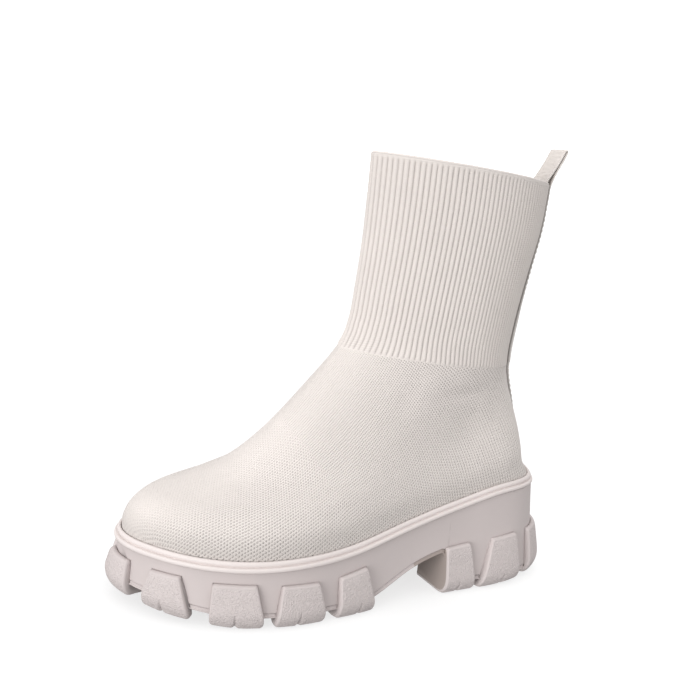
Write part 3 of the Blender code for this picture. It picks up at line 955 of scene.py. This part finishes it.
def add_tread():
    points, edge, sheets = plate_mesh()
    blocks = []
    for number, (*along, height_from, height_to) in enumerate(LUGS):
        reach = LUG_REACH if LUG_LONG[0] < along[1] < LUG_LONG[1] else LUG_END_REACH
        for side in (1, -1):
            scale = ALONG[side][-1] / ALONG[1][-1]
            columns = lug_columns(*(scale * v for v in along), height_from, height_to)
            blocks.append((side, lug_sections(columns, side, reach), number == BREAST_LUG))
    tip = ALONG[1][-1]
    top_half = TOE_LUG_HALF - TOE_LUG_DRAFT
    feet = (tip - TOE_LUG_HALF, tip + TOE_LUG_HALF)
    toe = lug_columns(*feet, tip - top_half, tip + top_half, None, TOE_LUG_HEIGHT, TOE_LUG_HEIGHT)
    blocks.append((1, lug_sections(toe, 1, LUG_END_REACH), False))

    # Paints: 0 the plate's edge, 1 the lugs, 2 painted shade on the underside, the arch, the breast and
    # the breast lug's toe-side end
    _, y, z = points[np.array(edge)].mean(axis=1).T
    in_arch = (ARCH_SHADE[0] < y) & (y < ARCH_SHADE[1]) & (z > ARCH_SHADE_LOW)
    slots = [*np.where(in_arch, 2, 0), *[2] * len(sheets)]
    faces = edge + sheets
    rows = [points]
    grains = [0] * len(points)
    for side, (sections, grain), at_breast in blocks:
        block = tube(numbered(sections, len(grains)))
        faces += block if side == 1 else turned(block)
        slots += [1, 2 if at_breast else 1] + [1] * (len(block) - 2)
        rows += sections
        grains += grain
    maps = {"grain": np.column_stack((grains, np.zeros(len(grains))))}
    paints = [
        rubber("plate_rubber", WALL_COLOUR, roughness=0.65, mottle=0.03),
        lug_rubber(),
        rubber("underside_shade_rubber", UNDERSIDE_SHADE_COLOUR, roughness=0.75, mottle=0.03),
    ]
    piece = add_mesh("tread", np.vstack(rows), faces, paints, slots, maps)
    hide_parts("outsole")


def add_welt_strip():
    turns = np.linspace(0, np.pi, RING_STEPS + 1)
    shares = share_of(turns)
    heights = feather_z(shares)
    closed = np.vstack((WELT_SECTION, WELT_SECTION[:1]))
    broad = BEAD_BROAD * hill(np.interp(turns, FINE_TURN, ALONG[1]), BEAD_SPREAD)
    shift_at, shift = np.array(BEAD_SHIFT).T
    rows = []
    for out, up in corner_cut(closed, 1)[:-1]:
        move = broad * np.interp(out, shift_at, shift) * (up > BEAD_FOOT)
        rows.append(plan_ring(shares, out - move, heights + up + move))
    rings = numbered(rows)
    faces = turned(bands(rings + rings[:1]))
    paint = rubber("welt_rubber", WELT_COLOUR, roughness=0.55, mottle=0.045)
    piece = add_mesh("welt_strip", np.vstack(rows), faces, [paint])
    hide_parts("welt")


def add_inner_sole():
    shares = share_of(np.linspace(0, np.pi, INSOLE_STEPS))
    low = feather_z(shares) - WELT_HEIGHT
    top = low + INSOLE_THICK
    edge = ((0.0, low), (0.0, top - INSOLE_ROUND), (INSOLE_ROUND, top))
    rows = [plan_ring(shares, -INSOLE_IN - inwards, z) for inwards, z in edge]
    middle = plan_middle(shares, top, 0.0)
    for place, row in zip(CROSS_ROWS, middle):
        row[:, 2] -= INSOLE_CUP * np.sin(np.pi * place)
    points, edge, sheets = stacked(rows, [], middle)
    piece = add_mesh("inner_sole", points, edge + sheets, [cloth("lining_cloth", pitch=1.1, depth=0.15)])
    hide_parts("insole")


# Knit upper

def upper_point(level, turn, side):
    """Point of the knit's outer face: level counts the rows of UPPER, turn runs from back to front."""
    rows = np.arange(len(UPPER))
    columns = (smooth(level, rows, column) for column in UPPER.T)
    back, back_z, front, front_z, follow, half, oval, pinch = columns
    q = share_of(turn)
    along = back + (front - back) * q
    chord = feather_z(back / LENGTH) * (1 - q) + feather_z(front / LENGTH) * q
    z = back_z + (front_z - back_z) * q + follow * (feather_z(along / LENGTH) - chord)
    lens = (4 * q * (1 - q)) ** pinch
    x = half * ((1 - oval) * foot_x(turn, side) / FOOT_HALF + oval * side * lens)
    return np.stack((x, HEEL_Y - along, z), axis=-1)


def upper_line(level, turns, side):
    """Points at one level."""
    return upper_point(np.full(len(turns), float(level)), turns, side)


def ring_at(level, places):
    """Ring of points at shares of the way from back to front; the ribs spread only at the front."""
    sides = []
    for side in (1, -1):
        along = distances(upper_line(level, RING_TURNS, side))
        even = distances(upper_line(max(level, RIB_EVEN), RING_TURNS, side))
        spare = ease(level, *RIB_GATHER) * max(0.0, along[-1] - even[-1])
        at = places * (along[-1] - spare) + spare * ease(places, *RIB_SPREAD)
        sides.append(upper_line(level, np.interp(at, along, RING_TURNS), side))
    front = upper_line(level, RING_TURNS[-1:], 1)
    return np.vstack((sides[0], front, sides[1][:0:-1]))


def grid_at(levels, places):
    return np.array([ring_at(level, places) for level in levels])


def ring_way(grid):
    """Vectors along the rings of a grid."""
    return np.roll(grid, -1, axis=1) - np.roll(grid, 1, axis=1)


def grid_normal(grid):
    """Outward directions of a grid of rings."""
    return unit(np.cross(np.gradient(grid, axis=0), ring_way(grid)))


def wander(index, seed):
    """Slow waves that differ from rib to rib, from -1 to 1."""
    return sum(np.sin(index * pace + shift * seed) * weight for pace, shift, weight in WANDER)


def bend(y, z):
    """Distances out from and along the bend of the wales."""
    dy = y - BEND_Y
    dz = BEND_Z - z
    angle = np.arctan2(dz, dy)
    straight = angle > BEND_ANGLE
    out = np.where(straight, dy * np.cos(BEND_ANGLE) + dz * np.sin(BEND_ANGLE), np.hypot(dy, dz))
    past = dz * np.cos(BEND_ANGLE) - dy * np.sin(BEND_ANGLE)
    return out, np.where(straight, BEND_RADIUS * BEND_ANGLE + past, BEND_RADIUS * angle)


def knit_map(points):
    """Places across and along the wales, in millimetres, for points of the foot."""
    levels = np.linspace(1, COLLAR_ROW, RIDGE_STEPS)
    ridge = upper_point(levels, np.full(len(levels), np.pi), 1)
    ridge_out, ridge_along = bend(ridge[:, 1], ridge[:, 2])
    order = np.argsort(ridge_along)
    out, along = bend(points[:, 1], points[:, 2])
    below = np.clip(out - np.interp(along, ridge_along[order], ridge_out[order]), 0, None)
    aside = np.abs(points[:, 0] - np.interp(along, ridge_along[order], ridge[order, 0]))
    wale = (aside ** ROUND_POWER + below ** ROUND_POWER) ** (1 / ROUND_POWER)
    return np.column_stack((wale, along))


def fold_depth(points):
    """Depth of the soft folds at points of the outer side."""
    depth = np.zeros(points.shape[:-1])
    for y, z, direction, length, width, deep in FOLDS:
        a = np.radians(direction)
        dy = points[..., 1] - y
        dz = points[..., 2] - z
        along = dy * np.cos(a) + dz * np.sin(a)
        aside = dz * np.cos(a) - dy * np.sin(a)
        depth += deep * hill(along, length) * hill(aside, width)
    return depth * ease(points[..., 0], *FOLD_SIDE)


def seam_distance(grid):
    """Distance from the back seam along the rings of a grid, which start at the back."""
    step = np.linalg.norm(np.roll(grid, -1, axis=1) - grid, axis=2)
    ahead = np.cumsum(step, axis=1) - step
    return np.minimum(ahead, step.sum(axis=1, keepdims=True) - ahead)


def unroll_back(grid):
    """Grid with its back laid out straight behind the sides, so that the knit keeps its scale there."""
    flat = grid.copy()
    half = grid.shape[1] // 2
    for row, along in zip(flat, seam_distance(grid)):
        outer = np.interp(BACK_TURN, along[:half], row[:half, 1])
        inner = np.interp(BACK_TURN, along[:half:-1], row[:half:-1, 1])
        edge = np.where(np.arange(len(along)) < half, outer, inner)
        row[:, 1] = np.where(along < BACK_TURN, edge + BACK_TURN - along, row[:, 1])
    return flat


def seam_sink(grid):
    """Depth of the sunk line where the tape is sewn down."""
    return SEAM_SINK * hill(seam_distance(grid) - TAPE_HALF - SEAM_ASIDE, SEAM_WIDTH)


def add_knit_upper():
    ribs = np.arange(RIBS_A_SIDE)
    places = (ribs[:, None] + np.array(RIB_PLACES)[None, :]).ravel() / RIBS_A_SIDE
    foot_levels = np.linspace(0, RIB_ROW, FOOT_ROWS)[:-1]

    # The foot has every second column of the ribs
    foot = grid_at(foot_levels, places[::2])
    normal = grid_normal(foot)
    foot_map = knit_map(unroll_back(foot).reshape(-1, 3))
    aside = seam_distance(foot)
    foot[:, :, 1] -= heel_tuck(foot[:, :, 2], aside)
    foot = draw_ridge(foot, back_ridge(foot_levels[:, None], aside))
    foot = foot - normal * (fold_depth(foot) + seam_sink(foot))[:, :, None]

    # The shaft: ribs with narrow grooves between them, flat at the rib line and at the hem
    shaft = grid_at(SHAFT_LEVELS, places)
    normal = grid_normal(shaft)
    columns = shaft.shape[1]
    place = np.concatenate((places, [1.0], places[:0:-1])) * RIBS_A_SIDE
    rib = np.floor(place) + np.where(np.arange(columns) < columns // 2, 0, RIBS_A_SIDE)
    phase = place - np.floor(place)
    levels = SHAFT_LEVELS[:, None]
    crest = np.sin(np.pi * phase) ** RIB_ROUND
    beat = np.sin(levels * RIB_BEAT[0] + rib * RIB_BEAT[1])
    deep = RIB_DEPTH * (1 + RIB_UNEVEN * wander(rib, DEPTH_SEED)) * (1 + RIB_UNEVEN * beat)
    fade = ease(levels, RIB_ROW, RIB_ROW + RIB_START)
    grooved = fade * (1 - ease(levels, *RIB_END))
    groove = (1 - crest) * grooved
    lift = RIB_STEP * fade - deep * groove - seam_sink(shaft) * (levels < TAPE_HIGH)
    sway = RIB_WANDER * np.sin(levels * RIB_SWAY[0] + wander(rib, SWAY_SEED) * RIB_SWAY[1]) * grooved
    outer = shaft + normal * lift[:, :, None] + unit(ring_way(shaft)) * sway[:, :, None]
    outer = draw_ridge(outer, back_ridge(levels, seam_distance(shaft)))

    # The hem rolls over the collar to the inside
    out = unit(normal[-1] * (1, 1, 0))
    radius = (KNIT + RIB_STEP) / 2
    centre = ring_at(COLLAR_ROW - HEM_DROP, places) + out * (RIB_STEP - radius)
    height = radius * (1 + HEM_RIPPLE * np.sin(np.pi * phase))
    hem = []
    for angle in np.linspace(0, np.pi, HEM_STEPS + 1)[1:]:
        rise = np.outer(height * np.sin(angle), (0, 0, 1.0))
        hem.append(centre + out * (radius * np.cos(angle)) + rise)

    # The inner face
    grid = grid_at(INNER_LEVELS[::-1], places[::2])
    inner = (grid - grid_normal(grid) * KNIT)[::-1]

    # Faces, with paint 0 on the foot, 1 on the shaft and hem, 2 on the inner face
    rows = [*foot, *outer, *hem, *inner]
    rings = numbered(rows)
    faces = []
    slots = []
    last_foot = len(foot) - 1
    last_outer = last_foot + len(outer) + len(hem)
    for k, (first, second) in enumerate(zip(rings, rings[1:] + rings[:1])):
        strip = turned(band(second, first)) if len(second) < len(first) else band(first, second)
        faces += strip
        slots += [0 if k <= last_foot else 1 if k < last_outer else 2] * len(strip)

    # Maps of the wales, the ribs and the height over the sole
    count = len(foot_map)
    knit = np.zeros((sum(len(row) for row in rows), 2))
    knit[:count] = foot_map
    knit[count:count + columns] = knit_map(unroll_back(shaft[:1])[0])
    ribs_map = np.zeros_like(knit)
    ribs_map[count:count + groove.size] = np.dstack((groove, shaft[:, :, 2])).reshape(-1, 2)
    over_sole = np.tile((SOLE_SHADE[1], 0.5), (len(knit), 1))
    along_foot = (HEEL_Y - foot[:, :, 1]) / LENGTH
    over_sole[:count] = np.dstack((foot[:, :, 2] - feather_z(along_foot), along_foot)).reshape(-1, 2)
    maps = {"knit": knit, "ribs": ribs_map, "foot": over_sole}
    paints = [foot_knit(), rib_knit(), cloth("inner_knit", pitch=1.3, depth=0.2)]
    piece = add_mesh("knit_upper", np.vstack(rows), faces, paints, slots, maps)
    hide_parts("upper")


# Webbing

def back_ridge(level, distance):
    """How strongly the back is drawn into a ridge under the tape, from 0 to 1."""
    low, full, fading, end = RIDGE_LEVELS
    return ease(level, low, full) * (1 - ease(level, fading, end)) * hill(distance, RIDGE_WIDTH)


def draw_ridge(points, ridge):
    """Points drawn to the middle and out at the back."""
    points[..., 0] *= 1 - RIDGE_PINCH * ridge
    points[..., 1] += RIDGE_OUT * ridge
    return points


def heel_tuck(z, distance):
    """How far the knit is drawn in over the bead, by height and by distance from the back seam."""
    return HEEL_TUCK * (1 - ease(z, *TUCK_HEIGHTS)) * hill(distance, BEAD_SPREAD)


def back_point(level, across_mm, out):
    """Point over the back seam, a distance to one side along the knit and a distance out of it."""
    side = 1 if across_mm >= 0 else -1
    line = upper_line(level, BACK_TURNS, side)
    turn = np.interp(abs(across_mm), distances(line), BACK_TURNS)
    small = 0.05
    before = upper_point(level, abs(turn - small), side if turn >= small else -side)
    after = upper_point(level, turn + small, side)
    below = upper_point(max(level - small, 0), turn, side)
    above = upper_point(min(level + small, COLLAR_ROW), turn, side)
    normal = unit(side * np.cross(above - below, after - before))
    point = upper_point(level, turn, side) + normal * out
    point[1] -= heel_tuck(point[2], abs(across_mm))
    return draw_ridge(point, back_ridge(level, abs(across_mm)))


def rib_step(level):
    """How far the shaft stands out of the foot at a level."""
    return float(RIB_STEP * ease(level, RIB_ROW - RIB_LEAD, RIB_ROW + RIB_START))


def add_strip(name, sections, around, along, material):
    """Webbing through sections of points, with a map of the places around and along it."""
    faces = turned(tube(numbered(sections)))
    weave = np.column_stack((np.tile(around, len(along)), np.repeat(along, len(around))))
    return add_mesh(name, np.vstack(sections), faces, [material], maps={"weave": weave})


def add_seam_tape(material):
    places = np.array(TAPE_PLACES)
    thick = TAPE_THICK * (1 + TAPE_SELVAGE * hill(abs(places) - SELVAGE_PLACE, SELVAGE_WIDTH))
    thick[[0, -1]] *= TAPE_EDGE
    over = np.concatenate((GAP + thick, np.full(len(places), GAP / 2)))
    around = np.concatenate((places, places[::-1])) * TAPE_HALF
    sections = []
    middle = []
    for level in np.linspace(TAPE_LOW, TAPE_HIGH, TAPE_ROWS):
        low = rib_step(level)
        sections.append([back_point(level, aside, low + out) for aside, out in zip(around, over)])
        middle.append(back_point(level, 0.0, low))
    piece = add_strip("seam_tape", sections, around, distances(middle), material)
    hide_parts("back_tape")


def stitch_rings(start, end):
    """Rings of points of one sewn stitch that rises from its two ends."""
    start, end, lift = np.array((start, end, STITCH_LIFT), float)
    up = unit(lift)
    aside = np.cross(unit(end - start), up)
    turns = 2 * np.pi * np.arange(STITCH_SIDES) / STITCH_SIDES
    circle = np.outer(np.cos(turns), aside) + np.outer(np.sin(turns), up)
    rings = []
    for t in np.linspace(0, 1, STITCH_RINGS):
        radius = STITCH_THICK * np.sqrt(max(STITCH_TIP, 1 - (2 * t - 1) ** 4))
        rings.append(start + (end - start) * t + lift * np.sin(np.pi * t) + circle * radius)
    return rings


def add_stitches():
    """Rows of stitches along the tape and a bar of stitches at the foot of the loop."""
    stitches = []
    levels = np.linspace(TAPE_LOW, TAPE_HIGH, STITCH_LEVELS)
    along = distances([back_point(level, 0.0, 0.0) for level in levels])
    for side in (-1, 1):
        for at in np.arange(STITCH_PITCH, along[-1] - STITCH_PITCH, STITCH_PITCH):
            ends = []
            for shift in (-0.5, 0.5):
                level = float(np.interp(at + shift * STITCH_LONG, along, levels))
                out = rib_step(level) + GAP + TAPE_THICK
                ends.append(back_point(level, side * STITCH_PLACE * TAPE_HALF, out))
            stitches.append(ends)
    for lift in BAR_LIFTS:
        z = UPPER[-1, 1] - LOOP_SEWN + lift
        y = HEEL_Y - back_line(z) + LOOP_OUTER + LOOP_THICK / 2
        for x in BAR_PLACES:
            stitches.append([(v, y - collar_curl(v), z) for v in (x - BAR_HALF, x + BAR_HALF)])
    points = []
    faces = []
    for start, end in stitches:
        rings = stitch_rings(start, end)
        faces += tube(numbered(rings, len(points)))
        points += [*np.vstack(rings)]
    thread = rubber("thread", THREAD_COLOUR, roughness=0.8, mottle=0.03)
    piece = add_mesh("sewn_stitches", points, faces, [thread])


def back_line(z):
    """Place of the back seam at a height."""
    return smooth(z, UPPER[RIB_ROW:, 1], UPPER[RIB_ROW:, 0])


def loop_path():
    """Middle line of the webbing: distance from the heel, height, and how far it curls with the collar."""
    collar = UPPER[-1, 1]
    lean = np.radians(LOOP_LEAN)
    up = np.array((-np.sin(lean), np.cos(lean))) * LOOP_RISE
    inwards = np.array((np.cos(lean), np.sin(lean))) * LOOP_BOW
    foot = np.array((back_line(collar) - LOOP_FOOT, collar + LOOP_START))

    def sewn(drop, out):
        return back_line(collar - drop) - out, collar - drop, 1.0

    def free(rise, bow):
        return *(foot + up * rise + inwards * bow), max(0.0, 1 - rise / LOOP_FLAT)

    path = [sewn(drop, LOOP_INNER) for drop in (LOOP_SEWN, LOOP_SEWN / 2, -LOOP_BEND)]
    path += [free(rise, 1) for rise in LOOP_RISES]
    for angle in np.linspace(0, np.pi, LOOP_TURNS):
        path.append(free(1 + np.sin(angle) * LOOP_BOW / LOOP_RISE, np.cos(angle)))
    path += [free(rise, -1) for rise in LOOP_RISES[::-1]]
    path += [sewn(drop, LOOP_OUTER) for drop in (LOOP_HANG, LOOP_SEWN / 2, LOOP_SEWN)]
    return np.array(path)


def collar_curl(across_mm):
    """How far the collar's back curves to the front at a distance from the seam."""
    line = upper_line(COLLAR_ROW, BACK_TURNS, 1)
    return line[0, 1] - np.interp(abs(across_mm), line[:, 0], line[:, 1])


def add_pull_tab(material):
    path = corner_cut(loop_path(), LOOP_CUTS)
    run = distances(path[:, :2])
    at = np.arange(0, run[-1], LOOP_STEP)
    line = np.column_stack([np.interp(at, run, column) for column in path.T])
    along = unit(np.gradient(line[:, :2], axis=0))
    half = np.array([(-s, h) for s, h in LOOP_EDGES] + [(s, h) for s, h in LOOP_EDGES[::-1]])
    around, thick = np.vstack((half * (1, -1), half[::-1])).T
    curls = collar_curl(around * LOOP_HALF)
    sections = []
    for (place, z, curl), (up, back), distance in zip(line, along, at):
        rib = LOOP_RIB_DEEP * np.cos(2 * np.pi * distance / LOOP_RIB)
        off = thick * (LOOP_THICK / 2 + rib)
        y = HEEL_Y - place + back * off - curl * curls
        sections.append(np.column_stack((around * (LOOP_HALF + LOOP_RIB_WIDE * rib), y, z + up * off)))
    piece = add_strip("pull_tab", sections, around * LOOP_HALF, at, material)
    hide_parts("pull_loop")


# Stage

def add_stage(name, points, faces, glow):
    """Pale glowing sheet that shows to the camera and lights nothing itself."""
    mesh = bpy.data.meshes.new(name)
    mesh.from_pydata(points, [], faces)
    paint = Nodes(name + "_paint", FLOOR_COLOUR, roughness=0.9)
    paint.set("Emission Color", WHITE)
    paint.set("Emission Strength", glow)
    mesh.materials.append(paint.material)
    sheet = add_object(name, mesh)
    sheet.visible_diffuse = False
    sheet.visible_glossy = False
    sheet.visible_shadow = False


def add_room():
    """Floor with a white backdrop all around it."""
    corners = [(-1, -1), (1, -1), (1, 1), (-1, 1)]
    low = [(x * ROOM_HALF, y * ROOM_HALF, 0.0) for x, y in corners]
    high = [(x, y, ROOM_HALF) for x, y, _ in low]
    add_stage("floor", low, [(0, 1, 2, 3)], FLOOR_GLOW)
    walls = [(k, (k + 1) % 4, (k + 1) % 4 + 4, k + 4) for k in range(4)]
    add_stage("backdrop", low + high, walls, BACKDROP_GLOW)


def facing(back, roll=0.0):
    """Turn of a lamp or camera that looks along the opposite of a direction."""
    back = unit(np.array(back, float))
    level = unit(np.cross((0, 0, 1.0), back))
    above = np.cross(back, level)
    right = np.cos(roll) * level + np.sin(roll) * above
    up = np.cos(roll) * above - np.sin(roll) * level
    return Matrix(np.column_stack((right, up, back)).tolist()).to_4x4()


def add_sun():
    light = bpy.data.lights.new("sun", "SUN")
    light.energy = SUN_STRENGTH
    light.angle = float(np.radians(SUN_SOFTNESS))
    add_object("sun", light).matrix_world = facing(SUN_FROM)


def add_camera():
    azimuth, elevation, roll = np.radians((CAMERA_AZIMUTH, CAMERA_ELEVATION, CAMERA_ROLL))
    flat = np.cos(elevation)
    back = np.array((np.sin(azimuth) * flat, -np.cos(azimuth) * flat, np.sin(elevation)))
    data = bpy.data.cameras.new("camera")
    data.lens = CAMERA_LENS
    data.clip_start = CAMERA_NEAR
    camera = add_object("camera", data)
    place = (np.array(CAMERA_TARGET) + back * CAMERA_DISTANCE) * MM
    camera.matrix_world = Matrix.Translation(place) @ facing(back, roll)
    bpy.context.scene.camera = camera


def add_world():
    """White light that is full from above and dim from below."""
    world = bpy.data.worlds.new("studio")
    world.use_nodes = True
    tree = world.node_tree
    direction = tree.nodes.new("ShaderNodeSeparateXYZ")
    tree.links.new(tree.nodes.new("ShaderNodeTexCoord").outputs["Generated"], direction.inputs[0])
    fade = tree.nodes.new("ShaderNodeMapRange")
    for socket, value in zip(list(fade.inputs)[1:5], (-1.0, 1.0, GROUND_LIGHT, SKY_LIGHT)):
        socket.default_value = value
    tree.links.new(direction.outputs[2], fade.inputs[0])
    tree.nodes["Background"].inputs["Color"].default_value = WHITE
    tree.links.new(fade.outputs[0], tree.nodes["Background"].inputs["Strength"])
    bpy.context.scene.world = world
    bpy.context.scene.view_settings.view_transform = "Standard"


add_camera()
add_world()
add_room()
add_sun()
add_sole_wall()
add_tread()
add_welt_strip()
add_inner_sole()
add_knit_upper()
tape = webbing()
add_seam_tape(tape)
add_pull_tab(tape)
add_stitches()
